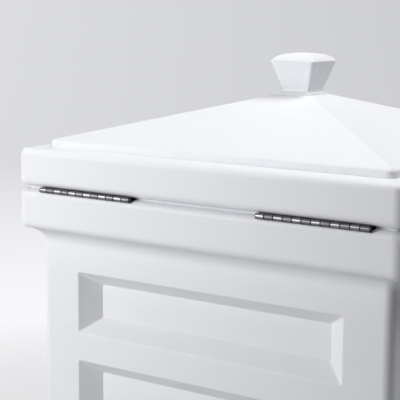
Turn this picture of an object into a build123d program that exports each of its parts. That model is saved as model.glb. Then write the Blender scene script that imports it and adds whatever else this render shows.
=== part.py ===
"""Parcel delivery box: a moulded double-walled box with a hipped lid on two knuckled hinges.

Millimetres. X runs along the hinges, +Y is the hinge side, +Z is up, and the feet stand on Z = 0.
"""
import os
from math import acos, cos, pi, sin

from build123d import *

# Outline shared by the lid's rim and the body's collar
outline_width = 580.0
outline_depth = 520.0
outline_corner = 16.0
edge_round = 9.0

# Heights
hinge_height = 521.0
lid_gap = 4.0
rim_height = 50.5
collar_height = 54.0
foot_lift = 6.0

# Moulded walls
shell_wall = 5.0
liner_wall = 3.0
least_corner = 1.0
flat_tolerance = 0.001
join_overlap = 1.0

# Body
wall_inset = 24.0
wall_corner = 12.0
cove_radius = 22.0
cove_steps = 8
hidden_steps = 2
plinth_height = 55.0
plinth_projection = 12.0
plinth_round = 8.0
lip_inset = 12.0
lip_width = 4.0
lip_clearance = 0.3

# Recessed panels in the walls
panel_margin = 63.5
panel_corner = 4.0
panel_lip_round = 3.0
panel_depth = 20.0
panel_side_bevel = 26.5
panel_top_bevel = 17.0
panel_bottom_bevel = 20.5
plate_drop = 33.8
plate_height = 83.3
lower_panel_gap = 38.0

# Lid above the rim
ledge_width = 30.5
step_height = 10.5
step_corner = 12.0
step_round = 4.0
roof_rise = 62.4
hip_round = 10.0

# Finial
neck_width = 43.0
neck_round = 4.0
neck_height = 6.3
neck_foot = 5.0
neck_steps = 3
finial_width = 70.0
finial_depth_ratio = 0.92
finial_round = 6.0
finial_flare = 37.8
shoulder_round = 3.0
cap_rise = 10.3
cap_steps = 5
cap_top_width = 16.0

# Mouth of the box, measured inwards from the outline
deck_step = 3.0
deck_lip = 12.0
flange_width = 16.0
flange_clearance = 1.0
tub_clearance = 2.0
tub_draft = 12.0
tub_corner = 18.0
tub_floor_height = 30.0
tub_rib_wall = 3.0
tub_rib_count = 5
drain_diameter = 8.0
drain_x = 120.0
drain_y = 150.0

# Slatted tray on the tub's floor
tray_clearance = 3.0
tray_height = 12.0
slat_count = 9
slat_gap = 14.0
slat_border = 28.0

# Lid liner
spigot_clearance = 3.0
spigot_height = 12.0
pan_rise = 26.0
pan_draft = 14.0

# Seal
seal_width = 10.0
seal_clearance = 0.2

# Hinges
hinge_length = 152.4
knuckle_count = 12
knuckle_gap = 0.4
barrel_diameter = 7.0
leaf_thickness = 1.6
leaf_reach = 26.0
leaf_corner = 3.0
pin_diameter = 4.0
pin_fit = 0.05
pin_chamfer = 0.5
rolled_step = 0.1
barrel_clearance = 0.6
pocket_clearance = 0.5
hinge_setback = 1.5
hinge_spacing = 342.0
screw_setback = 16.0
screw_pitch = 56.0

# Fasteners
screw_diameter = 4.0
screw_head = 7.0
screw_length = 12.0
screw_fit = 0.05
insert_diameter = 7.0
insert_length = 10.0
insert_gap = 1.0
boss_diameter = 14.0
flange_boss_diameter = 12.0
boss_height = 15.0
flange_screw_x = 150.0
flange_screw_y = 130.0

# Feet
foot_diameter = 40.0
foot_taper = 3.0
foot_socket = 2.0
foot_margin = 46.0
foot_screw_diameter = 5.0
foot_screw_head = 9.0
foot_screw_head_height = 3.0
foot_screw_recess = 1.0
foot_screw_length = 15.0
foot_boss_diameter = 16.0
foot_boss_height = 16.0

# Derived heights
barrel_radius = barrel_diameter / 2
leaf_seat = barrel_radius - rolled_step
rim_base = hinge_height + leaf_seat
collar_top = rim_base - lid_gap
collar_base = collar_top - collar_height
cove_angle = acos(1 - wall_inset / (edge_round + cove_radius))
cove_base = collar_base + edge_round - (edge_round + cove_radius) * sin(cove_angle)
pocket_floor = hinge_height - leaf_seat
body_base = foot_lift
plinth_top = body_base + plinth_height
rim_top = rim_base + rim_height
step_top = rim_top + step_height
roof_top = step_top + roof_rise
neck_top = roof_top + neck_height
finial_shoulder = neck_top + finial_flare
foot_screw_seat = foot_screw_head_height + foot_screw_recess

# Derived outlines
wall_width = outline_width - 2 * wall_inset
wall_depth = outline_depth - 2 * wall_inset
mouth_inset = wall_inset + panel_depth + shell_wall + tub_clearance
tub_width = outline_width - 2 * mouth_inset
tub_depth = outline_depth - 2 * mouth_inset
flange_inset = mouth_inset - flange_width
deck_step_inset = flange_inset - flange_clearance
barrel_y = outline_depth / 2 - hinge_setback


def block(width, depth, corner, low, high):
    """Upright block with rounded corners between two heights."""
    outline = Plane.XY.offset(low) * RectangleRounded(width, depth, corner)
    return extrude(outline, high - low)


def inset_block(inset, corner, low, high):
    """Block whose outline lies inside the shared outline by one distance all round."""
    return block(outline_width - 2 * inset, outline_depth - 2 * inset, corner, low, high)


def inset_ring(outer, inner, corner, low, high):
    """Ring between two insets from the shared outline."""
    inner_corner = max(corner - (inner - outer), least_corner)
    return inset_block(outer, corner, low, high) - inset_block(inner, inner_corner, low, high)


def stack(sections):
    """Straight-sided loft through rounded rectangles given as width, depth, corner and height."""
    outlines = [Plane.XY.offset(z) * RectangleRounded(w, d, r) for w, d, r, z in sections]
    return loft(outlines, ruled=True)


def tapered_block(low_size, high_size, corner, low, high):
    """Block with sloping flat sides between two rectangles, its four rising edges rounded."""
    reach = max(*low_size, *high_size)
    slabs = []
    for plane, bottom, top in zip((Plane.XZ, Plane.YZ), low_size, high_size):
        side = Polyline((-bottom / 2, low), (bottom / 2, low), (top / 2, high), (-top / 2, high), close=True)
        slabs.append(extrude(plane * make_face(side), reach, both=True))
    solid = slabs[0] & slabs[1]
    return fillet(solid.edges().group_by(Axis.Z)[1], corner)


def upright(radius, low, high, x=0.0, y=0.0):
    """Upright cylinder between two heights."""
    return Pos(x, y, low) * Cylinder(radius, high - low, align=(Align.CENTER, Align.CENTER, Align.MIN))


def soften_flat_edges(solid, radius, skin, bottom=True):
    """Round the edges of a block's top face, and of its bottom face, or bevel those of a hidden inside."""
    faces = solid.faces().sort_by(Axis.Z)
    edges = faces[-1].edges() + (faces[0].edges() if bottom else [])
    if skin:
        return chamfer(edges, radius - skin)
    return fillet(edges, radius)


def panel_bottoms_and_heights():
    """Lower edge and height of the nameplate recess and of the tall recess under it."""
    plate_bottom = cove_base - plate_drop - plate_height
    lower_top = plate_bottom - lower_panel_gap
    lower_bottom = plinth_top + lower_panel_gap
    return [(plate_bottom, plate_height), (lower_bottom, lower_top - lower_bottom)]


def wall_recess(wall_span, bottom, height, skin):
    """Bevelled recess in a wall that faces +Y at Y = 0, or its sharp outside once a skin is added."""
    floor_y = -panel_depth - skin
    stretch = 1 - join_overlap / floor_y
    floor_half = wall_span / 2 - panel_margin + skin - panel_side_bevel
    mouth_half = floor_half + panel_side_bevel * stretch
    floor_low = bottom - skin + panel_bottom_bevel
    floor_high = bottom + height + skin - panel_top_bevel
    mouth_low = floor_low - panel_bottom_bevel * stretch
    mouth_high = floor_high + panel_top_bevel * stretch
    plan = Polyline(
        (-floor_half, floor_y),
        (floor_half, floor_y),
        (mouth_half, join_overlap),
        (-mouth_half, join_overlap),
        close=True,
    )
    side = Polyline(
        (floor_y, floor_low),
        (floor_y, floor_high),
        (join_overlap, mouth_high),
        (join_overlap, mouth_low),
        close=True,
    )
    recess = extrude(make_face(plan), mouth_high) & extrude(Plane.YZ * make_face(side), mouth_half, both=True)
    if skin:
        return recess
    return fillet(recess.edges().group_by(Axis.Y)[1], panel_corner)


def all_recesses(skin):
    """Recesses in the four walls."""
    cuts = []
    for turn in range(4):
        across = turn % 2 == 1
        span = wall_depth if across else wall_width
        reach = wall_width / 2 if across else wall_depth / 2
        for bottom, height in panel_bottoms_and_heights():
            cuts.append(Rot(0, 0, 90 * turn) * Pos(0, reach, 0) * wall_recess(span, bottom, height, skin))
    return cuts


def cove(skin):
    """Concave part of the moulding under the collar, tangent to the wall and to the collar's rounding."""
    sections = []
    steps = hidden_steps if skin else cove_steps
    radius = cove_radius + skin
    for step in range(steps + 1):
        angle = cove_angle * step / steps
        inset = wall_inset - cove_radius + radius * cos(angle)
        height = cove_base + radius * sin(angle)
        sections.append((outline_width - 2 * inset, outline_depth - 2 * inset, wall_corner, height))
    width, depth, corner, height = sections[-1]
    sections.append((width, depth, corner, height + join_overlap))
    return stack(sections)


def body_form(skin):
    """The body's outer form, or the space inside it under a skin of that thickness."""
    collar = inset_block(skin, outline_corner - skin, collar_base + skin, collar_top - skin)
    collar = soften_flat_edges(collar, edge_round, skin)
    wall = inset_block(wall_inset + skin, wall_corner, body_base + skin, cove_base + join_overlap)
    plinth_inset = wall_inset - plinth_projection + skin
    plinth = inset_block(plinth_inset, wall_corner, body_base + skin, plinth_top - skin)
    plinth = soften_flat_edges(plinth, plinth_round, skin)
    return collar + wall + plinth + cove(skin)


def hinge_screw_places():
    """X places of the screws of both hinges."""
    return [
        side * hinge_spacing / 2 + step * screw_pitch
        for side in (-1, 1)
        for step in (-1, 0, 1)
    ]


def flange_screw_places():
    """X and Y places of the eight screws round the mouth."""
    x_row = outline_width / 2 - mouth_inset + flange_width / 2
    y_row = outline_depth / 2 - mouth_inset + flange_width / 2
    long_sides = [(x, y) for x in (-flange_screw_x, flange_screw_x) for y in (-y_row, y_row)]
    short_sides = [(x, y) for x in (-x_row, x_row) for y in (-flange_screw_y, flange_screw_y)]
    return long_sides + short_sides


def foot_places():
    """X and Y places of the feet by name."""
    x = wall_width / 2 - foot_margin
    y = wall_depth / 2 - foot_margin
    return {"front_left": (-x, -y), "front_right": (x, -y), "back_left": (-x, y), "back_right": (x, y)}


def hinge_pockets():
    """Pockets in the collar for the body leaves, with room for the barrels in front of them."""
    length = hinge_length + 2 * pocket_clearance
    outside = outline_depth / 2 + join_overlap
    leaf_back = barrel_y - leaf_reach - pocket_clearance
    barrel_back = barrel_y - barrel_radius - barrel_clearance
    barrel_floor = hinge_height - barrel_radius - barrel_clearance
    top = rim_base
    cuts = []
    for side in (-1, 1):
        for back, floor in ((leaf_back, pocket_floor), (barrel_back, barrel_floor)):
            middle = (side * hinge_spacing / 2, (back + outside) / 2, (floor + top) / 2)
            cuts.append(Pos(*middle) * Box(length, outside - back, top - floor))
    return cuts


def mouth_deck(face, inward, solid):
    """Step the deck round the mouth for a flange, turn its edge in and open the mouth.

    face is the height of the deck's outer face and inward is -1 in the body and +1 in the lid.
    """
    opening = mouth_inset - flange_clearance
    seat = face + inward * deck_step
    seat_back = seat + inward * shell_wall
    lip_end = seat + inward * deck_lip
    ring_corner = tub_corner + mouth_inset - deck_step_inset
    shelf = inset_ring(deck_step_inset - shell_wall, opening, ring_corner, *sorted((face, seat_back)))
    lip = inset_ring(opening - shell_wall, opening, tub_corner, *sorted((seat, lip_end)))
    step_cut = inset_block(deck_step_inset, ring_corner, *sorted((face, seat)))
    mouth_cut = inset_block(opening, tub_corner, *sorted((face, seat_back)))
    return solid + shelf + lip - step_cut - mouth_cut


def deck_bosses(face, leaf_face, inward):
    """Bosses behind the deck for the hinge inserts and the flange screws."""
    y = barrel_y - screw_setback
    end = leaf_face + inward * boss_height
    bosses = [upright(boss_diameter / 2, *sorted((leaf_face, end)), x, y) for x in hinge_screw_places()]
    seat = face + inward * deck_step
    bosses += [
        upright(flange_boss_diameter / 2, *sorted((seat, end)), x, y)
        for x, y in flange_screw_places()
    ]
    return bosses


def deck_holes(face, leaf_face, inward):
    """Holes in those bosses."""
    y = barrel_y - screw_setback
    insert_end = leaf_face + inward * (insert_length + insert_gap)
    holes = [
        upright(insert_diameter / 2 + screw_fit, *sorted((leaf_face, insert_end)), x, y)
        for x in hinge_screw_places()
    ]
    screw_end = face + inward * (screw_length + screw_fit)
    holes += [
        upright(screw_diameter / 2 + screw_fit, *sorted((face, screw_end)), x, y)
        for x, y in flange_screw_places()
    ]
    return holes


def countersunk(face, inward, length, extra, x, y):
    """Countersunk screw, or its hole once extra is added all round, going inward from a face."""
    radius = screw_diameter / 2 + extra
    head_radius = screw_head / 2 + extra
    head_depth = head_radius - radius
    outline = Polyline(
        (0, 0),
        (head_radius, 0),
        (radius, -head_depth),
        (radius, -length),
        (0, -length),
        close=True,
    )
    screw = revolve(Plane.XZ * make_face(outline), Axis.Z)
    if inward > 0:
        screw = mirror(screw, Plane.XY)
    return Pos(x, y, face) * screw


def hinge_screws(face, inward, length, extra):
    """Row of screws, or of their holes, of both hinges."""
    y = barrel_y - screw_setback
    return [countersunk(face, inward, length, extra, x, y) for x in hinge_screw_places()]


def flange_screws(face, inward, length, extra):
    """Ring of screws, or of their holes, round the mouth."""
    return [countersunk(face, inward, length, extra, x, y) for x, y in flange_screw_places()]


def hinge_inserts(face, inward):
    """Threaded inserts, drawn as plain tubes, of both hinges."""
    end = face + inward * insert_length
    y = barrel_y - screw_setback
    return [
        upright(insert_diameter / 2, *sorted((face, end)), x, y)
        - upright(screw_diameter / 2 + screw_fit, *sorted((face, end)), x, y)
        for x in hinge_screw_places()
    ]


def soft_lips(solid):
    """Round the edges where the recesses meet the walls' outer faces."""
    lips = []
    for edge in solid.edges():
        centre = edge.center()
        spread = edge.bounding_box().size
        level = any(bottom <= centre.Z <= bottom + height for bottom, height in panel_bottoms_and_heights())
        on_side = lies_on(centre.X, spread.X, wall_width) and beside_middle(centre.Y, wall_depth)
        on_back = lies_on(centre.Y, spread.Y, wall_depth) and beside_middle(centre.X, wall_width)
        if level and (on_side or on_back):
            lips.append(edge)
    return fillet(lips, panel_lip_round)


def lies_on(place, spread, span):
    """Whether an edge with this middle and spread lies flat on one of two walls that are a span apart."""
    return abs(abs(place) - span / 2) < flat_tolerance and spread < flat_tolerance


def beside_middle(place, span):
    """Whether a place along a wall lies within its recesses."""
    return abs(place) <= span / 2 - panel_margin + flat_tolerance


def body_shell():
    """Moulded outer body with its collar, cove, recessed panels, plinth and closed floor."""
    hollow = body_form(shell_wall) - all_recesses(shell_wall)
    shell = soft_lips(body_form(0) - all_recesses(0)) - hollow
    lip_top = rim_base - lip_clearance
    lip_low = collar_top - join_overlap
    lip = inset_ring(lip_inset, lip_inset + lip_width, outline_corner - edge_round, lip_low, lip_top)
    shell = mouth_deck(collar_top, -1, shell + lip)
    shell += deck_bosses(collar_top, pocket_floor, -1)
    shell -= hinge_pockets()
    shell += [
        upright(foot_boss_diameter / 2, body_base, body_base + foot_boss_height, x, y)
        for x, y in foot_places().values()
    ]
    shell -= deck_holes(collar_top, pocket_floor, -1)
    socket_radius = foot_diameter / 2 + screw_fit
    screw_radius = foot_screw_diameter / 2 + screw_fit
    for x, y in foot_places().values():
        shell -= upright(socket_radius, body_base, body_base + foot_socket, x, y)
        shell -= upright(screw_radius, body_base, foot_screw_seat + foot_screw_length + screw_fit, x, y)
    for x, y in drain_places():
        shell -= upright(drain_diameter / 2, body_base, body_base + shell_wall, x, y)
    return shell


def drain_places():
    """X and Y places of the drain holes, clear of the ribs and feet."""
    return [(x, y) for x in (-drain_x, drain_x) for y in (-drain_y, drain_y)]


def parcel_tub():
    """Liner that holds the parcels, standing on ribs and hung by its flange."""
    floor = tub_floor_height
    foot_width = tub_width - 2 * tub_draft
    foot_depth = tub_depth - 2 * tub_draft
    outside = tapered_block((foot_width, foot_depth), (tub_width, tub_depth), tub_corner, floor, collar_top)
    skin = 2 * liner_wall
    inside = tapered_block(
        (foot_width - skin, foot_depth - skin),
        (tub_width - skin, tub_depth - skin),
        tub_corner - liner_wall,
        floor + liner_wall,
        collar_top,
    )
    flange_corner = tub_corner + flange_width
    flange_inner = mouth_inset + liner_wall
    flange = inset_ring(flange_inset, flange_inner, flange_corner, collar_top - liner_wall, collar_top)
    tub = outside + flange - inside
    rib_low = body_base + shell_wall
    for index in range(tub_rib_count):
        x = (index - (tub_rib_count - 1) / 2) * foot_width / tub_rib_count
        rib = Box(tub_rib_wall, foot_depth - 2 * tub_corner, floor - rib_low)
        tub += Pos(x, 0, (floor + rib_low) / 2) * rib
    for x, y in drain_places():
        tub -= upright(drain_diameter / 2, floor, floor + liner_wall, x, y)
    return tub - flange_screws(collar_top, -1, liner_wall, screw_fit)


def floor_tray():
    """Loose slatted tray on the tub's floor."""
    low = tub_floor_height + liner_wall
    inset = mouth_inset + tub_draft + liner_wall + tray_clearance
    width = outline_width - 2 * inset
    depth = outline_depth - 2 * inset
    tray = block(width, depth, tub_corner - liner_wall - tray_clearance, low, low + tray_height)
    pitch = (width - 2 * slat_border + slat_gap) / slat_count
    for index in range(slat_count):
        x = (index - (slat_count - 1) / 2) * pitch
        tray -= block_at(x, slat_gap, depth - 2 * slat_border, low, low + tray_height)
    return tray


def block_at(x, width, depth, low, high):
    """Round-ended slot along Y between two heights."""
    outline = Plane.XY.offset(low) * Pos(x, 0) * SlotOverall(depth, width, rotation=90)
    return extrude(outline, high - low)


def lid_form(skin):
    """The lid's outer form, or the space inside it under a skin of that thickness."""
    rim = inset_block(skin, outline_corner - skin, rim_base + skin, rim_top - skin)
    rim = soften_flat_edges(rim, edge_round, skin)
    step = inset_block(ledge_width + skin, step_corner, rim_base + edge_round, step_top - skin)
    if not skin:
        step = soften_flat_edges(step, step_round, skin, bottom=False)
    roof_inset = ledge_width + step_round + skin
    eaves = (outline_width - 2 * roof_inset, outline_depth - 2 * roof_inset)
    neck = (neck_width - 2 * skin, neck_width * finial_depth_ratio - 2 * skin)
    roof = tapered_block(eaves, neck, hip_round, step_top - skin, roof_top - skin)
    return rim + step + roof + finial(skin)


def finial(skin):
    """Square finial that flares from its neck to a rounded shoulder under a domed cap."""

    def section(width, corner, height):
        depth = width * finial_depth_ratio
        return (width - 2 * skin, depth - 2 * skin, max(corner - skin, least_corner), height - skin)

    flare = [section(neck_width, neck_round, neck_top), section(finial_width, finial_round, finial_shoulder)]
    root = roof_top - neck_height
    if skin:
        return stack([section(neck_width, neck_round, root)] + flare)
    sections = [section(neck_width + 2 * neck_foot, neck_round, root)]
    for step in range(neck_steps):
        angle = pi / 2 * step / neck_steps
        width = neck_width + 2 * neck_foot * (1 - sin(angle))
        sections.append(section(width, neck_round, roof_top + neck_height * (1 - cos(angle))))
    sections += flare
    for step in range(1, cap_steps + 1):
        angle = pi / 2 * step / cap_steps
        width = cap_top_width + (finial_width - shoulder_round - cap_top_width) * cos(angle)
        sections.append(section(width, finial_round, finial_shoulder + cap_rise * sin(angle)))
    return stack(sections)


def lid_shell():
    """Moulded lid with its rim, step, four-sided roof and finial in one piece."""
    shell = lid_form(0) - lid_form(shell_wall)
    shell = mouth_deck(rim_base, 1, shell)
    shell += deck_bosses(rim_base, rim_base, 1)
    return shell - deck_holes(rim_base, rim_base, 1)


def lid_liner():
    """Pan that closes the lid's underside, with a lip that enters the tub's mouth."""
    outer = mouth_inset + liner_wall + spigot_clearance
    inner = outer + liner_wall
    corner = tub_corner - liner_wall - spigot_clearance
    pan_top = rim_base + pan_rise
    width = outline_width - 2 * outer
    depth = outline_depth - 2 * outer
    skin = 2 * liner_wall
    top_width = width - 2 * pan_draft
    top_depth = depth - 2 * pan_draft
    outside = tapered_block((width, depth), (top_width, top_depth), corner, rim_base, pan_top)
    inside = tapered_block(
        (width - skin, depth - skin),
        (top_width - skin, top_depth - skin),
        corner - liner_wall,
        rim_base,
        pan_top - liner_wall,
    )
    flange_corner = tub_corner + flange_width
    flange = inset_ring(flange_inset, inner, flange_corner, rim_base, rim_base + liner_wall)
    lip = inset_ring(outer, inner, corner, rim_base - spigot_height, rim_base)
    return outside + flange + lip - inside - flange_screws(rim_base, 1, liner_wall, screw_fit)


def lid_seal():
    """Foam strip under the liner's flange, just clear of the tub's flange."""
    outer = flange_inset + (flange_width - seal_width) / 2
    corner = tub_corner + mouth_inset - outer
    return inset_ring(outer, outer + seal_width, corner, collar_top + seal_clearance, rim_base)


def hinge_leaf(side, first_knuckle):
    """Leaf of one hinge as it lies on the body, with every second knuckle from the one given."""
    start = side * hinge_spacing / 2 - hinge_length / 2
    low = pocket_floor
    high = pocket_floor + leaf_thickness
    back = barrel_y - barrel_radius - barrel_clearance
    front = barrel_y - leaf_reach
    middle = (start + hinge_length / 2, (front + back) / 2, (low + high) / 2)
    leaf = Pos(*middle) * Box(hinge_length, back - front, high - low)
    leaf = fillet(leaf.edges().filter_by(Axis.Z).group_by(Axis.Y)[0], leaf_corner)
    pitch = hinge_length / knuckle_count
    length = pitch - knuckle_gap
    for index in range(first_knuckle, knuckle_count, 2):
        x = start + (index + 0.5) * pitch
        leaf += Pos(x, barrel_y, hinge_height) * Rot(0, 90, 0) * Cylinder(barrel_radius, length)
        leaf += Pos(x, (back + barrel_y) / 2, (low + high) / 2) * Box(length, barrel_y - back, high - low)
    bore = Cylinder(pin_diameter / 2 + pin_fit, hinge_length)
    leaf -= Pos(middle[0], barrel_y, hinge_height) * Rot(0, 90, 0) * bore
    y = barrel_y - screw_setback
    for step in (-1, 0, 1):
        leaf -= countersunk(high, -1, leaf_thickness, screw_fit, middle[0] + step * screw_pitch, y)
    return leaf


def hinge_pin(side):
    """Pin of one hinge, chamfered at both ends."""
    pin = Cylinder(pin_diameter / 2, hinge_length - knuckle_gap)
    pin = chamfer(pin.edges(), pin_chamfer)
    return Pos(side * hinge_spacing / 2, barrel_y, hinge_height) * Rot(0, 90, 0) * pin


def foot(x, y):
    """Tapered rubber foot, counterbored for its screw."""
    top = body_base + foot_socket
    cone = Cone(
        foot_diameter / 2 - foot_taper,
        foot_diameter / 2,
        top,
        align=(Align.CENTER, Align.CENTER, Align.MIN),
    )
    pad = Pos(x, y, 0) * cone
    pad -= upright(foot_screw_head / 2 + screw_fit, 0, foot_screw_seat, x, y)
    return pad - upright(foot_screw_diameter / 2 + screw_fit, 0, top, x, y)


def foot_screw(x, y):
    """Cylinder-headed screw of one foot."""
    head = upright(foot_screw_head / 2, foot_screw_seat - foot_screw_head_height, foot_screw_seat, x, y)
    return head + upright(foot_screw_diameter / 2, foot_screw_seat, foot_screw_seat + foot_screw_length, x, y)


def save(name, shape):
    """Write one node, which may be a list of separate solids."""
    solids = shape if isinstance(shape, list) else [shape]
    export_step(Compound(children=[Compound(piece.solids()) for piece in solids]), f"parts/{name}.step")


os.makedirs("parts", exist_ok=True)
leaf_face = pocket_floor + leaf_thickness
lid_leaf_face = rim_base - leaf_thickness
hinge_level = Plane.XY.offset(hinge_height)

save("body_shell", body_shell())
save("parcel_tub", parcel_tub())
save("tub_screws", flange_screws(collar_top, -1, screw_length, 0))
save("floor_tray", floor_tray())
save("lid_shell", lid_shell())
save("lid_liner", lid_liner())
save("liner_screws", flange_screws(rim_base, 1, screw_length, 0))
save("lid_seal", lid_seal())
save("body_hinge_screws", hinge_screws(leaf_face, -1, screw_length, 0))
save("body_hinge_inserts", hinge_inserts(pocket_floor, -1))
save("lid_hinge_screws", hinge_screws(lid_leaf_face, 1, screw_length, 0))
save("lid_hinge_inserts", hinge_inserts(rim_base, 1))
for hinge, side in (("left", 1), ("right", -1)):
    save(f"hinge_{hinge}_body_leaf", hinge_leaf(side, 1))
    save(f"hinge_{hinge}_lid_leaf", mirror(hinge_leaf(side, 0), hinge_level))
    save(f"hinge_{hinge}_pin", hinge_pin(side))
for name, (x, y) in foot_places().items():
    save(f"foot_{name}", foot(x, y))
save("foot_screws", [foot_screw(x, y) for x, y in foot_places().values()])
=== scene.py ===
"""Finishes, cross-recessed screws, studio and camera for the parcel delivery box."""
import math

import bmesh
import bpy
from mathutils import Matrix, Vector


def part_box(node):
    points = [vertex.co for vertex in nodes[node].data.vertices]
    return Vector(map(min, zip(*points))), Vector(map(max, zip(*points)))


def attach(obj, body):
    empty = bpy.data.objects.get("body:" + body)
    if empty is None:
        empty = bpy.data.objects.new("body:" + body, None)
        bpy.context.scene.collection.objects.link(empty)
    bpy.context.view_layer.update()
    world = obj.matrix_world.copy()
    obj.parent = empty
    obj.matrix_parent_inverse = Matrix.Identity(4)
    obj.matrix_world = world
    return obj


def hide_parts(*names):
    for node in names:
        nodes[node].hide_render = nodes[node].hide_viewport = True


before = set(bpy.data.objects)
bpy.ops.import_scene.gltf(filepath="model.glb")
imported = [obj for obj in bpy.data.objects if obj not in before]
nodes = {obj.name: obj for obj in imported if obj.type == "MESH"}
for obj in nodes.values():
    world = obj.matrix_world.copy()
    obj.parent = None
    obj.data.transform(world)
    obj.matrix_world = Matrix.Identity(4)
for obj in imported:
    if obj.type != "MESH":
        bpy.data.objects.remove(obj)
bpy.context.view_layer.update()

# Colours of the plastics
lid_white = (0.85, 0.858, 0.887, 1.0)
lid_shade = (0.825, 0.833, 0.864, 1.0)
body_white = (0.845, 0.853, 0.882, 1.0)
body_shade = (0.82, 0.828, 0.858, 1.0)
road_dust = (0.60, 0.57, 0.52, 1.0)
liner_grey = (0.56, 0.57, 0.59, 1.0)
liner_shade = (0.50, 0.51, 0.53, 1.0)
tray_grey = (0.30, 0.31, 0.325, 1.0)
tray_shade = (0.25, 0.26, 0.275, 1.0)

# Colours of the metals and rubbers
# Body leaves lighter and lid leaves darker: painted light and painted shade for the alternating bright and
# dim knuckles; the leaves' difference in roughness is real
lit_body_leaf_light = (0.21, 0.21, 0.22, 1.0)
lit_body_leaf_shade = (0.13, 0.13, 0.14, 1.0)
shaded_lid_leaf_light = (0.16, 0.16, 0.17, 1.0)
shaded_lid_leaf_shade = (0.07, 0.07, 0.08, 1.0)
# Painted shade for the seams between hinge knuckles
seam_painted_shade = (0.015, 0.015, 0.016, 1.0)
pin_light = (0.34, 0.34, 0.35, 1.0)
pin_shade = (0.20, 0.20, 0.21, 1.0)
screw_light = (0.58, 0.58, 0.59, 1.0)
screw_shade = (0.38, 0.38, 0.39, 1.0)
brass_light = (0.70, 0.50, 0.22, 1.0)
brass_shade = (0.50, 0.34, 0.13, 1.0)
rubber_dark = (0.018, 0.018, 0.02, 1.0)
rubber_dust = (0.06, 0.058, 0.055, 1.0)
foam_dark = (0.030, 0.030, 0.032, 1.0)
foam_light = (0.075, 0.075, 0.078, 1.0)

# Colours of the studio
near_paper = (0.93, 0.935, 0.95, 1.0)
far_paper = (0.72, 0.725, 0.75, 1.0)
right_paper = (0.60, 0.605, 0.63, 1.0)
paper_shade = (0.80, 0.805, 0.815, 1.0)
paper_light = (0.84, 0.845, 0.855, 1.0)
bounced_shade = (0.44, 0.442, 0.45, 1.0)
air_light = (0.93, 0.95, 1.0, 1.0)

# In the finishes below, a noise is a scale per metre and a detail, a reach is the stretch of a pattern
# that shows, a bump is a strength and a depth in metres, and pores or grain are a scale and a depth
full = (0.0, 1.0)
middle = (0.3, 0.7)

# White plastic
shell_cloud_noise = (3.2, 3.0)
shell_speckle_noise = (95.0, 6.0)
shell_peel_noise = (430.0, 2.0)
shell_ripple_noise = (8.5, 1.0)
shell_satin = (0.44, 0.54)
speckle_reach = (0.60, 0.78)
speckle_tint = 0.10
ripple_bump = (0.10, 0.0014)
peel_bump = (0.22, 0.00010)
plastic_ior = 1.49
body_pattern_shift = (0.0, 0.0, 0.0)
lid_pattern_shift = (1.7, 0.6, 0.3)

# Scuffs, each grain a turn in radians and its stretches per metre
scuff_patch_noise = (5.0, 2.0)
scuff_patch_reach = (0.5, 0.62)
scuff_line_noise = (1.0, 2.0)
scuff_line_reach = (0.66, 0.72)
scuff_grains = ((0.5, (7.0, 240.0, 190.0)), (-0.9, (9.0, 210.0, 230.0)))
scuff_tint = 0.07
scuff_roughness = 0.16
scuff_bump = (0.25, 0.00003)

# Dust that splashes up from the ground, with heights in metres
dust_heights = (0.004, 0.11)
dust_amounts = (0.34, 0.0)
splash_noise = (17.0, 8.0)
splash_stretch = (1.0, 1.0, 0.5)
splash_reach = (0.36, 0.72)

# Liner and tray plastic
liner_cloud_noise = (6.0, 4.0)
liner_wear_noise = (22.0, 5.0)
liner_wear_stretch = (1.0, 1.0, 0.35)
liner_satin = (0.46, 0.62)
liner_scuff_shift = (0.4, 0.1, 0.2)
liner_scuff_tint = 0.3
liner_wear_bump = (0.15, 0.0003)
liner_grain = (620.0, 0.00022)
tray_grain = (480.0, 0.0003)
grain_strength = 0.35

# Metals, brushed along X
brush_stretch = (30.0, 900.0, 900.0)
brush_noise = (1.0, 5.0)
brush_bump = (0.2, 0.00006)
tarnish_noise = (130.0, 4.0)
tarnish_reach = (0.48, 0.72)
tarnish_tint = 0.6
pit_scale = 1500.0
pit_bump = (0.12, 0.00003)
body_leaf_polish = (0.15, 0.24)
lid_leaf_polish = (0.28, 0.42)
pin_polish = (0.2, 0.35)
zinc_polish = (0.25, 0.4)
brass_polish = (0.3, 0.45)

# Seams between the hinge knuckles, in metres, and the painted shade in them
knuckle_pitch = 0.0127
knuckle_wall = 0.0015
leaf_root = 0.0012
seam_shade_reach = (0.0004, 0.0011)
seam_shade_amounts = (0.9, 0.0)
seam_shade_roughness = 0.5

# Rubber and foam
film_noise = (40.0, 6.0)
film_reach = (0.42, 0.8)
film_bump = (0.2, 0.0004)
rubber_matte = (0.72, 0.93)
pore_strength = 0.6
foot_pores = (520.0, 0.00025)
foam_pores = (900.0, 0.0005)

# Screws, in metres
head_edge = 0.00015
countersunk_depth = 0.0015
countersunk_shank = 0.002
foot_head_depth = 0.003
foot_screw_shank = 0.0025
recess_slot = 0.0008
same_point = 1e-6

# Recess's length, and its cutter's height, which stands half above the head, in head radii
recess_length = 1.05
recess_cutter = 0.9

screw_sides = 32
spin_seed = 7
sharp_angle = math.radians(30)

# Camera, in metres and degrees from the hinge side's own direction, with its focal length in pixels
camera_place = Vector((-0.9033, 1.4974, 0.7645))
camera_turn = 35.68
camera_drop = 8.67
camera_roll = 0.41
camera_focal = 1273.97
frame_pixels = 400.0
sensor_width = 36.0

# Lamps, each with its place, its target, its size and its watts
lamps = {
    "window_lamp": ((1.0, 1.5, 1.03), (0.0, 0.0, 0.4), 0.9, 19.8),
    "low_lamp": ((0.95, 1.5, 0.15), (0.0, 0.0, 0.5), 0.7, 5.5),
    "roof_lamp": ((-0.7, -0.3, 2.3), (0.0, 0.0, 0.6), 0.8, 27.5),
    "top_lamp": ((-0.25, 0.3, 2.2), (0.0, 0.0, 0.5), 0.8, 5.0),
    "far_lamp": ((1.3, -2.4, 0.55), (0.0, 0.0, 0.35), 1.0, 31.0),
}
air_strength = 0.045


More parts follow.
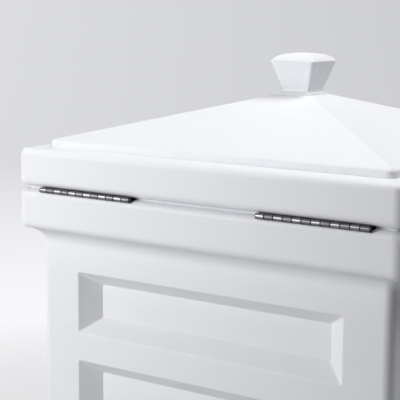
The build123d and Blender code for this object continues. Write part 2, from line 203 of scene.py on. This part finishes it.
def fill(tree, sockets, values):
    """Set each socket to its number, or link it to its pattern."""
    for socket, value in zip(sockets, values):
        if isinstance(value, float):
            socket.default_value = value
        else:
            tree.links.new(value, socket)


def by_identifier(sockets):
    """Sockets of a node that has several of the same name."""
    return {socket.identifier: socket for socket in sockets}


def new_material(name):
    """Empty node material with its principled shader and output."""
    material = bpy.data.materials.new(name)
    material.use_nodes = True
    tree = material.node_tree
    tree.nodes.clear()
    shader = tree.nodes.new("ShaderNodeBsdfPrincipled")
    output = tree.nodes.new("ShaderNodeOutputMaterial")
    tree.links.new(shader.outputs["BSDF"], output.inputs["Surface"])
    return material, tree, shader


def place_pattern(tree, stretch=(1.0, 1.0, 1.0), shift=(0.0, 0.0, 0.0), turn=(0.0, 0.0, 0.0)):
    """Object coordinates, stretched, turned and shifted for a pattern."""
    where = tree.nodes.new("ShaderNodeTexCoord")
    mapping = tree.nodes.new("ShaderNodeMapping")
    mapping.inputs["Location"].default_value = shift
    mapping.inputs["Rotation"].default_value = turn
    mapping.inputs["Scale"].default_value = stretch
    tree.links.new(where.outputs["Object"], mapping.inputs["Vector"])
    return mapping.outputs["Vector"]


def split(tree, vector):
    """X, Y and Z of a vector."""
    node = tree.nodes.new("ShaderNodeSeparateXYZ")
    tree.links.new(vector, node.inputs["Vector"])
    return node.outputs


def noise(tree, vector, scale, detail):
    """Noise pattern over a vector."""
    node = tree.nodes.new("ShaderNodeTexNoise")
    node.inputs["Scale"].default_value = scale
    node.inputs["Detail"].default_value = detail
    tree.links.new(vector, node.inputs["Vector"])
    return node.outputs["Fac"]


def cells(tree, vector, scale):
    """Soft cell pattern over a vector."""
    node = tree.nodes.new("ShaderNodeTexVoronoi")
    node.feature = "SMOOTH_F1"
    node.inputs["Scale"].default_value = scale
    tree.links.new(vector, node.inputs["Vector"])
    return node.outputs["Distance"]


def spread(tree, pattern, reach, result=full):
    """Number that runs from the result's first value to its last while a pattern runs over its reach."""
    node = tree.nodes.new("ShaderNodeMapRange")
    for socket, value in zip(("From Min", "From Max", "To Min", "To Max"), (*reach, *result)):
        node.inputs[socket].default_value = value
    tree.links.new(pattern, node.inputs["Value"])
    return node.outputs["Result"]


def weaker(tree, pattern, most):
    """A pattern brought down to a highest value."""
    return spread(tree, pattern, full, (0.0, most))


def calculate(tree, operation, first, second, clamp=False):
    """Sum, product or other result of two patterns or numbers."""
    node = tree.nodes.new("ShaderNodeMath")
    node.operation = operation
    node.use_clamp = clamp
    fill(tree, node.inputs, (first, second))
    return node.outputs["Value"]


def combine(tree, operation, first, second):
    """Result of two patterns, kept between 0 and 1."""
    return calculate(tree, operation, first, second, clamp=True)


def colour_between(tree, pattern, low, high, reach=middle):
    """Colour that runs from low to high while a pattern runs over its reach."""
    ramp = tree.nodes.new("ShaderNodeValToRGB")
    for element, position, colour in zip(ramp.color_ramp.elements, reach, (low, high)):
        element.position = position
        element.color = colour
    tree.links.new(pattern, ramp.inputs["Fac"])
    return ramp.outputs["Color"]


def laid_over(tree, factor, under, over):
    """A colour laid over another one where a pattern is high."""
    mix = tree.nodes.new("ShaderNodeMix")
    mix.data_type = "RGBA"
    sockets = by_identifier(mix.inputs)
    sockets["B_Color"].default_value = over
    tree.links.new(factor, sockets["Factor_Float"])
    tree.links.new(under, sockets["A_Color"])
    return by_identifier(mix.outputs)["Result_Color"]


def add_bumps(tree, shader, heights):
    """Chain of bumps, each a pattern with its strength and depth in metres."""
    normal = None
    for height, (strength, depth) in heights:
        bump = tree.nodes.new("ShaderNodeBump")
        bump.inputs["Strength"].default_value = strength
        bump.inputs["Distance"].default_value = depth
        tree.links.new(height, bump.inputs["Height"])
        if normal is not None:
            tree.links.new(normal, bump.inputs["Normal"])
        normal = bump.outputs["Normal"]
    tree.links.new(normal, shader.inputs["Normal"])


def scuffs(tree, shift):
    """Thin scratches in two directions, gathered in a few patches."""
    where = place_pattern(tree, shift=shift)
    patches = spread(tree, noise(tree, where, *scuff_patch_noise), scuff_patch_reach)
    lines = []
    for turn, stretch in scuff_grains:
        grain = noise(tree, place_pattern(tree, stretch, shift, (turn, turn, turn)), *scuff_line_noise)
        lines.append(spread(tree, grain, scuff_line_reach))
    return combine(tree, "MULTIPLY", patches, combine(tree, "MAXIMUM", *lines))


def ground_dust(tree):
    """Splashes of dust that fade out above the ground."""
    height = split(tree, place_pattern(tree))["Z"]
    near_ground = spread(tree, height, dust_heights, dust_amounts)
    splashes = noise(tree, place_pattern(tree, splash_stretch), *splash_noise)
    return combine(tree, "MULTIPLY", near_ground, spread(tree, splashes, splash_reach))


def moulded_shell(name, colour, shade, shift):
    """Satin white plastic with orange peel, slow unevenness, fine scuffs and dust near the ground."""
    material, tree, shader = new_material(name)
    where = place_pattern(tree, shift=shift)
    cloud = noise(tree, where, *shell_cloud_noise)
    speckle = noise(tree, where, *shell_speckle_noise)
    peel = noise(tree, where, *shell_peel_noise)
    ripple = noise(tree, where, *shell_ripple_noise)
    scratch = scuffs(tree, shift)
    dust = ground_dust(tree)
    plain = colour_between(tree, cloud, shade, colour)
    speckled = laid_over(tree, spread(tree, speckle, speckle_reach, (0.0, speckle_tint)), plain, shade)
    scratched = laid_over(tree, weaker(tree, scratch, scuff_tint), speckled, liner_grey)
    tree.links.new(laid_over(tree, dust, scratched, road_dust), shader.inputs["Base Color"])
    satin = spread(tree, speckle, middle, shell_satin)
    rubbed = combine(tree, "ADD", satin, weaker(tree, scratch, scuff_roughness))
    tree.links.new(combine(tree, "ADD", rubbed, dust), shader.inputs["Roughness"])
    shader.inputs["IOR"].default_value = plastic_ior
    add_bumps(tree, shader, [(ripple, ripple_bump), (peel, peel_bump), (scratch, scuff_bump)])
    return material


def grained_plastic(name, colour, shade, grain_scale, grain_depth):
    """Grained liner plastic, worn smoother in patches, with a few scuffs."""
    material, tree, shader = new_material(name)
    where = place_pattern(tree)
    cloud = noise(tree, where, *liner_cloud_noise)
    grain = cells(tree, where, grain_scale)
    worn = noise(tree, place_pattern(tree, liner_wear_stretch), *liner_wear_noise)
    plain = colour_between(tree, cloud, shade, colour)
    scratch = scuffs(tree, liner_scuff_shift)
    scratched = laid_over(tree, weaker(tree, scratch, liner_scuff_tint), plain, body_white)
    tree.links.new(scratched, shader.inputs["Base Color"])
    tree.links.new(spread(tree, worn, middle, liner_satin), shader.inputs["Roughness"])
    shader.inputs["IOR"].default_value = plastic_ior
    add_bumps(tree, shader, [(grain, (grain_strength, grain_depth)), (worn, liner_wear_bump)])
    return material


def knuckle_seam_shade_mask(tree):
    """Where shade is painted: high on the barrels, close to the seams between knuckles, which lie alike in
    both hinges.
    """
    low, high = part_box("hinge_left_pin")
    hinge_middle = abs(low.x + high.x) / 2
    barrel_start = low.y - knuckle_wall
    along = split(tree, place_pattern(tree))
    to_seam = calculate(tree, "ABSOLUTE", along["X"], 0.0)
    to_seam = calculate(tree, "SUBTRACT", to_seam, hinge_middle)
    to_seam = calculate(tree, "PINGPONG", to_seam, knuckle_pitch / 2)
    near_seam = spread(tree, to_seam, seam_shade_reach, seam_shade_amounts)
    on_barrel = spread(tree, along["Y"], (barrel_start - leaf_root, barrel_start))
    return combine(tree, "MULTIPLY", near_seam, on_barrel)


def brushed_metal(name, shade, light, polish, seams=False):
    """Metal with a grain along X, tarnish blotches, fine pits and, on a hinge, painted shade in its seams.
    """
    material, tree, shader = new_material(name)
    grain = noise(tree, place_pattern(tree, brush_stretch), *brush_noise)
    tarnish = noise(tree, place_pattern(tree), *tarnish_noise)
    pits = cells(tree, place_pattern(tree), pit_scale)
    brushed = colour_between(tree, grain, shade, light)
    colour = laid_over(tree, spread(tree, tarnish, tarnish_reach, (0.0, tarnish_tint)), brushed, shade)
    roughness = spread(tree, tarnish, middle, polish)
    if seams:
        # Painted shade darkens the seams between knuckles, where the gap's shadow falls, and makes the
        # metal rougher there
        seam_shade = knuckle_seam_shade_mask(tree)
        colour = laid_over(tree, seam_shade, colour, seam_painted_shade)
        roughness = combine(tree, "ADD", roughness, weaker(tree, seam_shade, seam_shade_roughness))
    tree.links.new(colour, shader.inputs["Base Color"])
    tree.links.new(roughness, shader.inputs["Roughness"])
    shader.inputs["Metallic"].default_value = 1.0
    add_bumps(tree, shader, [(grain, brush_bump), (pits, pit_bump)])
    return material


def soft_rubber(name, dark, dusty, pore_scale, pore_depth):
    """Matte rubber or foam with fine pores and dust in them."""
    material, tree, shader = new_material(name)
    where = place_pattern(tree)
    film = noise(tree, where, *film_noise)
    pores = cells(tree, where, pore_scale)
    tree.links.new(colour_between(tree, film, dark, dusty, film_reach), shader.inputs["Base Color"])
    tree.links.new(spread(tree, film, middle, rubber_matte), shader.inputs["Roughness"])
    add_bumps(tree, shader, [(pores, (pore_strength, pore_depth)), (film, film_bump)])
    return material


def loose_boxes(node):
    """Lowest and highest corners of each loose piece of a CAD node, in a fixed order."""
    work = bmesh.new()
    work.from_mesh(nodes[node].data)
    bmesh.ops.remove_doubles(work, verts=work.verts, dist=same_point)
    waiting = set(work.verts)
    found = []
    while waiting:
        reached = [waiting.pop()]
        island = []
        while reached:
            vert = reached.pop()
            island.append(vert.co.copy())
            for edge in vert.link_edges:
                other = edge.other_vert(vert)
                if other in waiting:
                    waiting.remove(other)
                    reached.append(other)
        low = Vector(min(place[axis] for place in island) for axis in range(3))
        high = Vector(max(place[axis] for place in island) for axis in range(3))
        found.append((low, high))
    work.free()
    return sorted(found, key=lambda corners: tuple(corners[0]))


def screw_tree():
    """Tree that puts a cross-recessed screw, turned at random, on every point."""
    tree = bpy.data.node_groups.new("cross_recessed_screws", "GeometryNodeTree")
    sizes = ("Head Radius", "Neck Radius", "Head Depth", "Edge", "Shank Radius", "Length", "Slot", "Tilt")
    tree.interface.new_socket(name="Places", in_out="INPUT", socket_type="NodeSocketGeometry")
    for size in sizes:
        tree.interface.new_socket(name=size, in_out="INPUT", socket_type="NodeSocketFloat")
    tree.interface.new_socket(name="Finish", in_out="INPUT", socket_type="NodeSocketMaterial")
    tree.interface.new_socket(name="Screws", in_out="OUTPUT", socket_type="NodeSocketGeometry")
    entry = tree.nodes.new("NodeGroupInput").outputs

    def vector(x, y, z):
        node = tree.nodes.new("ShaderNodeCombineXYZ")
        fill(tree, node.inputs, (x, y, z))
        return node.outputs["Vector"]

    def lowered(solid, depth):
        node = tree.nodes.new("GeometryNodeTransform")
        tree.links.new(solid, node.inputs["Geometry"])
        downwards = calculate(tree, "MULTIPLY", depth, -1.0)
        tree.links.new(vector(0.0, 0.0, downwards), node.inputs["Translation"])
        return node.outputs["Geometry"]

    def cone(bottom, top, depth):
        node = tree.nodes.new("GeometryNodeMeshCone")
        node.inputs["Vertices"].default_value = screw_sides
        sockets = [node.inputs[name] for name in ("Radius Bottom", "Radius Top", "Depth")]
        fill(tree, sockets, (bottom, top, depth))
        return node.outputs["Mesh"]

    def boxed(x, y, z):
        node = tree.nodes.new("GeometryNodeMeshCube")
        tree.links.new(vector(x, y, z), node.inputs["Size"])
        return node.outputs["Mesh"]

    def cut_or_joined(operation, first, others):
        node = tree.nodes.new("GeometryNodeMeshBoolean")
        node.operation = operation
        node.solver = "EXACT"
        tree.links.new(first, node.inputs["Mesh 1" if operation == "DIFFERENCE" else "Mesh 2"])
        for other in others:
            tree.links.new(other, node.inputs["Mesh 2"])
        return node.outputs["Mesh"]

    cone_depth = calculate(tree, "SUBTRACT", entry["Head Depth"], entry["Edge"])
    rim_radius = calculate(tree, "SUBTRACT", entry["Head Radius"], entry["Edge"])
    face_radius = calculate(tree, "SUBTRACT", rim_radius, entry["Edge"])
    shank_length = calculate(tree, "SUBTRACT", entry["Length"], entry["Edge"])
    head = lowered(cone(entry["Neck Radius"], rim_radius, cone_depth), entry["Head Depth"])
    edge = lowered(cone(rim_radius, face_radius, entry["Edge"]), entry["Edge"])
    shank = lowered(cone(entry["Shank Radius"], entry["Shank Radius"], shank_length), entry["Length"])
    whole = cut_or_joined("UNION", head, (edge, shank))
    long = calculate(tree, "MULTIPLY", entry["Head Radius"], recess_length)
    high = calculate(tree, "MULTIPLY", entry["Head Radius"], recess_cutter)
    recess = (boxed(long, entry["Slot"], high), boxed(entry["Slot"], long, high))
    closed = tree.nodes.new("GeometryNodeMergeByDistance")
    closed.inputs["Distance"].default_value = same_point
    tree.links.new(cut_or_joined("DIFFERENCE", whole, recess), closed.inputs["Geometry"])

    spin = tree.nodes.new("FunctionNodeRandomValue")
    spin.data_type = "FLOAT"
    spin_sockets = by_identifier(spin.inputs)
    spin_sockets["Min_001"].default_value = 0.0
    spin_sockets["Max_001"].default_value = math.pi / 2
    spin_sockets["Seed"].default_value = spin_seed
    turned = vector(entry["Tilt"], 0.0, by_identifier(spin.outputs)["Value_001"])
    place = tree.nodes.new("GeometryNodeInstanceOnPoints")
    tree.links.new(entry["Places"], place.inputs["Points"])
    tree.links.new(closed.outputs["Geometry"], place.inputs["Instance"])
    tree.links.new(turned, place.inputs["Rotation"])
    real = tree.nodes.new("GeometryNodeRealizeInstances")
    tree.links.new(place.outputs["Instances"], real.inputs["Geometry"])
    painted = tree.nodes.new("GeometryNodeSetMaterial")
    tree.links.new(real.outputs["Geometry"], painted.inputs["Geometry"])
    tree.links.new(entry["Finish"], painted.inputs["Material"])
    leave = tree.nodes.new("NodeGroupOutput")
    tree.links.new(painted.outputs["Geometry"], leave.inputs["Screws"])
    return tree


def cross_screws(tree, node, body, faces_up, neck_radius, head_depth, shank_radius, material):
    """Screws with a cross recess in place of a CAD node's plain ones."""
    boxes = loose_boxes(node)
    first_low, first_high = boxes[0]
    head_radius = (first_high.x - first_low.x) / 2
    places = [
        ((low.x + high.x) / 2, (low.y + high.y) / 2, high.z if faces_up else low.z)
        for low, high in boxes
    ]
    mesh = bpy.data.meshes.new(f"{node}_places")
    mesh.from_pydata(places, [], [])
    screws = bpy.data.objects.new(f"{node}_crossed", mesh)
    bpy.context.scene.collection.objects.link(screws)
    sizes = {
        "Head Radius": head_radius,
        "Neck Radius": neck_radius or head_radius - head_edge,
        "Head Depth": head_depth,
        "Edge": head_edge,
        "Shank Radius": shank_radius,
        "Length": first_high.z - first_low.z,
        "Slot": recess_slot,
        "Tilt": 0.0 if faces_up else math.pi,
        "Finish": material,
    }
    modifier = screws.modifiers.new("screws", "NODES")
    modifier.node_group = tree
    for item in tree.interface.items_tree:
        if item.name in sizes:
            modifier[item.identifier] = sizes[item.name]
    depsgraph = bpy.context.evaluated_depsgraph_get()
    plain = bpy.data.meshes.new_from_object(screws.evaluated_get(depsgraph))
    screws.modifiers.clear()
    screws.data = plain
    plain.shade_smooth()
    plain.set_sharp_from_angle(angle=sharp_angle)
    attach(screws, body)
    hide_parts(node)


def seen_rays(tree):
    """One for the rays that show a surface or its mirror image, and zero for those that only give light."""
    ray = tree.nodes.new("ShaderNodeLightPath").outputs
    seen = combine(tree, "ADD", ray["Is Camera Ray"], ray["Is Glossy Ray"])
    return combine(tree, "ADD", seen, ray["Is Transmission Ray"])


def studio_paper():
    """White paper that keeps the box's shadow close by and turns into an even pale backdrop further off."""
    paper_noise = (1.2, 2.0)
    paper_matte = 0.9
    glow_distances = (0.5, 1.4)
    pale_distances = (1.6, 4.6)
    right_half = (1.5, -1.5)
    right_end = (-2.5, -6.5)
    behind_box = (-1.0, -3.0)
    material, tree, shader = new_material("studio_paper")
    seen = seen_rays(tree)
    unseen = spread(tree, seen, full, (1.0, 0.0))
    paper = colour_between(tree, noise(tree, place_pattern(tree), *paper_noise), paper_shade, paper_light)
    tree.links.new(laid_over(tree, unseen, paper, bounced_shade), shader.inputs["Base Color"])
    shader.inputs["Roughness"].default_value = paper_matte
    distance = tree.nodes.new("ShaderNodeVectorMath")
    distance.operation = "LENGTH"
    tree.links.new(place_pattern(tree), distance.inputs[0])
    away = distance.outputs["Value"]
    as_seen = split(tree, place_pattern(tree, turn=(0.0, 0.0, -math.radians(camera_turn))))
    further = spread(tree, away, pale_distances)
    pale = colour_between(tree, further, near_paper, far_paper, full)
    to_the_right = spread(tree, as_seen["X"], right_half)
    in_view = spread(tree, as_seen["X"], right_end, (1.0, 0.0))
    behind = spread(tree, as_seen["Y"], behind_box)
    dimmer = further
    for pattern in (to_the_right, in_view, behind):
        dimmer = combine(tree, "MULTIPLY", dimmer, pattern)
    glow = tree.nodes.new("ShaderNodeEmission")
    tree.links.new(laid_over(tree, dimmer, pale, right_paper), glow.inputs["Color"])
    mix = tree.nodes.new("ShaderNodeMixShader")
    tree.links.new(combine(tree, "MULTIPLY", seen, spread(tree, away, glow_distances)), mix.inputs["Fac"])
    tree.links.new(shader.outputs["BSDF"], mix.inputs[1])
    tree.links.new(glow.outputs["Emission"], mix.inputs[2])
    tree.links.new(mix.outputs["Shader"], tree.nodes["Material Output"].inputs["Surface"])
    return material


def floor_and_sweep():
    """Floor that curves up into a backdrop behind the box as the camera sees it."""
    half_width = 9.0
    back_edge = 7.0
    front_edge = 6.0
    sweep_radius = 2.5
    height = 6.0
    steps = 24
    profile = [(-front_edge, 0.0), (back_edge - sweep_radius, 0.0)]
    for step in range(1, steps + 1):
        angle = math.pi / 2 * step / steps
        along = back_edge - sweep_radius + sweep_radius * math.sin(angle)
        profile.append((along, sweep_radius - sweep_radius * math.cos(angle)))
    profile.append((back_edge, height))
    turn = math.radians(camera_turn)
    away = Vector((math.sin(turn), -math.cos(turn), 0.0))
    across = Vector((-math.cos(turn), -math.sin(turn), 0.0))
    verts = []
    for along, up in profile:
        for side in (-half_width, half_width):
            verts.append(away * along + across * side + Vector((0.0, 0.0, up)))
    faces = [(2 * i, 2 * i + 1, 2 * i + 3, 2 * i + 2) for i in range(len(profile) - 1)]
    mesh = bpy.data.meshes.new("studio_floor")
    mesh.from_pydata(verts, [], faces)
    mesh.shade_smooth()
    mesh.materials.append(studio_paper())
    floor = bpy.data.objects.new("studio_floor", mesh)
    bpy.context.scene.collection.objects.link(floor)


def camera():
    """Camera at the photograph's angle."""
    turn = math.radians(camera_turn)
    drop = math.radians(camera_drop)
    roll = math.radians(camera_roll)
    ahead = Vector((math.sin(turn) * math.cos(drop), -math.cos(turn) * math.cos(drop), -math.sin(drop)))
    right = Vector((-math.cos(turn), -math.sin(turn), 0.0))
    up = right.cross(ahead)
    rolled_right = math.cos(roll) * right + math.sin(roll) * up
    rolled_up = math.cos(roll) * up - math.sin(roll) * right
    data = bpy.data.cameras.new("photo_camera")
    data.sensor_width = sensor_width
    data.lens = camera_focal / frame_pixels * sensor_width
    obj = bpy.data.objects.new("photo_camera", data)
    bpy.context.scene.collection.objects.link(obj)
    turned = Matrix((rolled_right, rolled_up, -ahead)).transposed()
    obj.matrix_world = Matrix.Translation(camera_place) @ turned.to_4x4()
    bpy.context.scene.camera = obj


def studio_air():
    """World that shows as a pale backdrop, in gloss too, and gives the box a little even light."""
    world = bpy.data.worlds.new("studio_air")
    bpy.context.scene.world = world
    world.use_nodes = True
    tree = world.node_tree
    lit = tree.nodes["Background"]
    lit.inputs["Color"].default_value = air_light
    lit.inputs["Strength"].default_value = air_strength
    shown = tree.nodes.new("ShaderNodeBackground")
    shown.inputs["Color"].default_value = far_paper
    shown.inputs["Strength"].default_value = 1.0
    mix = tree.nodes.new("ShaderNodeMixShader")
    tree.links.new(seen_rays(tree), mix.inputs["Fac"])
    tree.links.new(lit.outputs["Background"], mix.inputs[1])
    tree.links.new(shown.outputs["Background"], mix.inputs[2])
    tree.links.new(mix.outputs["Shader"], tree.nodes["World Output"].inputs["Surface"])


def lamp(name, place, target, size, watts):
    """Square soft lamp that the camera doesn't see, turned to its target."""
    data = bpy.data.lights.new(name, "AREA")
    data.shape = "SQUARE"
    data.size = size
    data.energy = watts
    obj = bpy.data.objects.new(name, data)
    bpy.context.scene.collection.objects.link(obj)
    obj.location = place
    obj.visible_camera = False
    obj.rotation_euler = (Vector(target) - obj.location).to_track_quat("-Z", "Y").to_euler()


# Painted light on the body leaves and painted shade on the lid leaves, which also differ in roughness
hinge_body_leaf_lit_metal = brushed_metal("hinge_body_leaf_lit_metal", lit_body_leaf_shade, lit_body_leaf_light, body_leaf_polish, seams=True)
hinge_steel = brushed_metal("hinge_steel", shaded_lid_leaf_shade, shaded_lid_leaf_light, lid_leaf_polish, seams=True)
hinge_pin_steel = brushed_metal("hinge_pin_steel", pin_shade, pin_light, pin_polish)
screw_zinc = brushed_metal("screw_zinc", screw_shade, screw_light, zinc_polish)
insert_brass = brushed_metal("insert_brass", brass_shade, brass_light, brass_polish)
foot_rubber = soft_rubber("foot_rubber", rubber_dark, rubber_dust, *foot_pores)
seal_foam = soft_rubber("seal_foam", foam_dark, foam_light, *foam_pores)
liner_plastic = grained_plastic("liner_plastic", liner_grey, liner_shade, *liner_grain)
tray_plastic = grained_plastic("tray_plastic", tray_grey, tray_shade, *tray_grain)

finishes = {
    "body_shell": moulded_shell("body_white_plastic", body_white, body_shade, body_pattern_shift),
    "lid_shell": moulded_shell("lid_white_plastic", lid_white, lid_shade, lid_pattern_shift),
    "parcel_tub": liner_plastic,
    "lid_liner": liner_plastic,
    "floor_tray": tray_plastic,
    "lid_seal": seal_foam,
    "body_hinge_inserts": insert_brass,
    "lid_hinge_inserts": insert_brass,
}
for side in ("left", "right"):
    finishes[f"hinge_{side}_body_leaf"] = hinge_body_leaf_lit_metal
    finishes[f"hinge_{side}_lid_leaf"] = hinge_steel
    finishes[f"hinge_{side}_pin"] = hinge_pin_steel
    for end in ("front", "back"):
        finishes[f"foot_{end}_{side}"] = foot_rubber
for node, finish in finishes.items():
    nodes[node].material_slots[0].material = finish

crossed = screw_tree()
for node, body, faces_up in (
    ("tub_screws", "body", True),
    ("body_hinge_screws", "body", True),
    ("liner_screws", "lid", False),
    ("lid_hinge_screws", "lid", False),
):
    cross_screws(
        crossed, node, body, faces_up, countersunk_shank, countersunk_depth, countersunk_shank, screw_zinc
    )
cross_screws(crossed, "foot_screws", "body", False, None, foot_head_depth, foot_screw_shank, screw_zinc)

camera()
studio_air()
for name, (place, target, size, watts) in lamps.items():
    lamp(name, place, target, size, watts)
floor_and_sweep()
bpy.context.scene.view_settings.view_transform = "Standard"
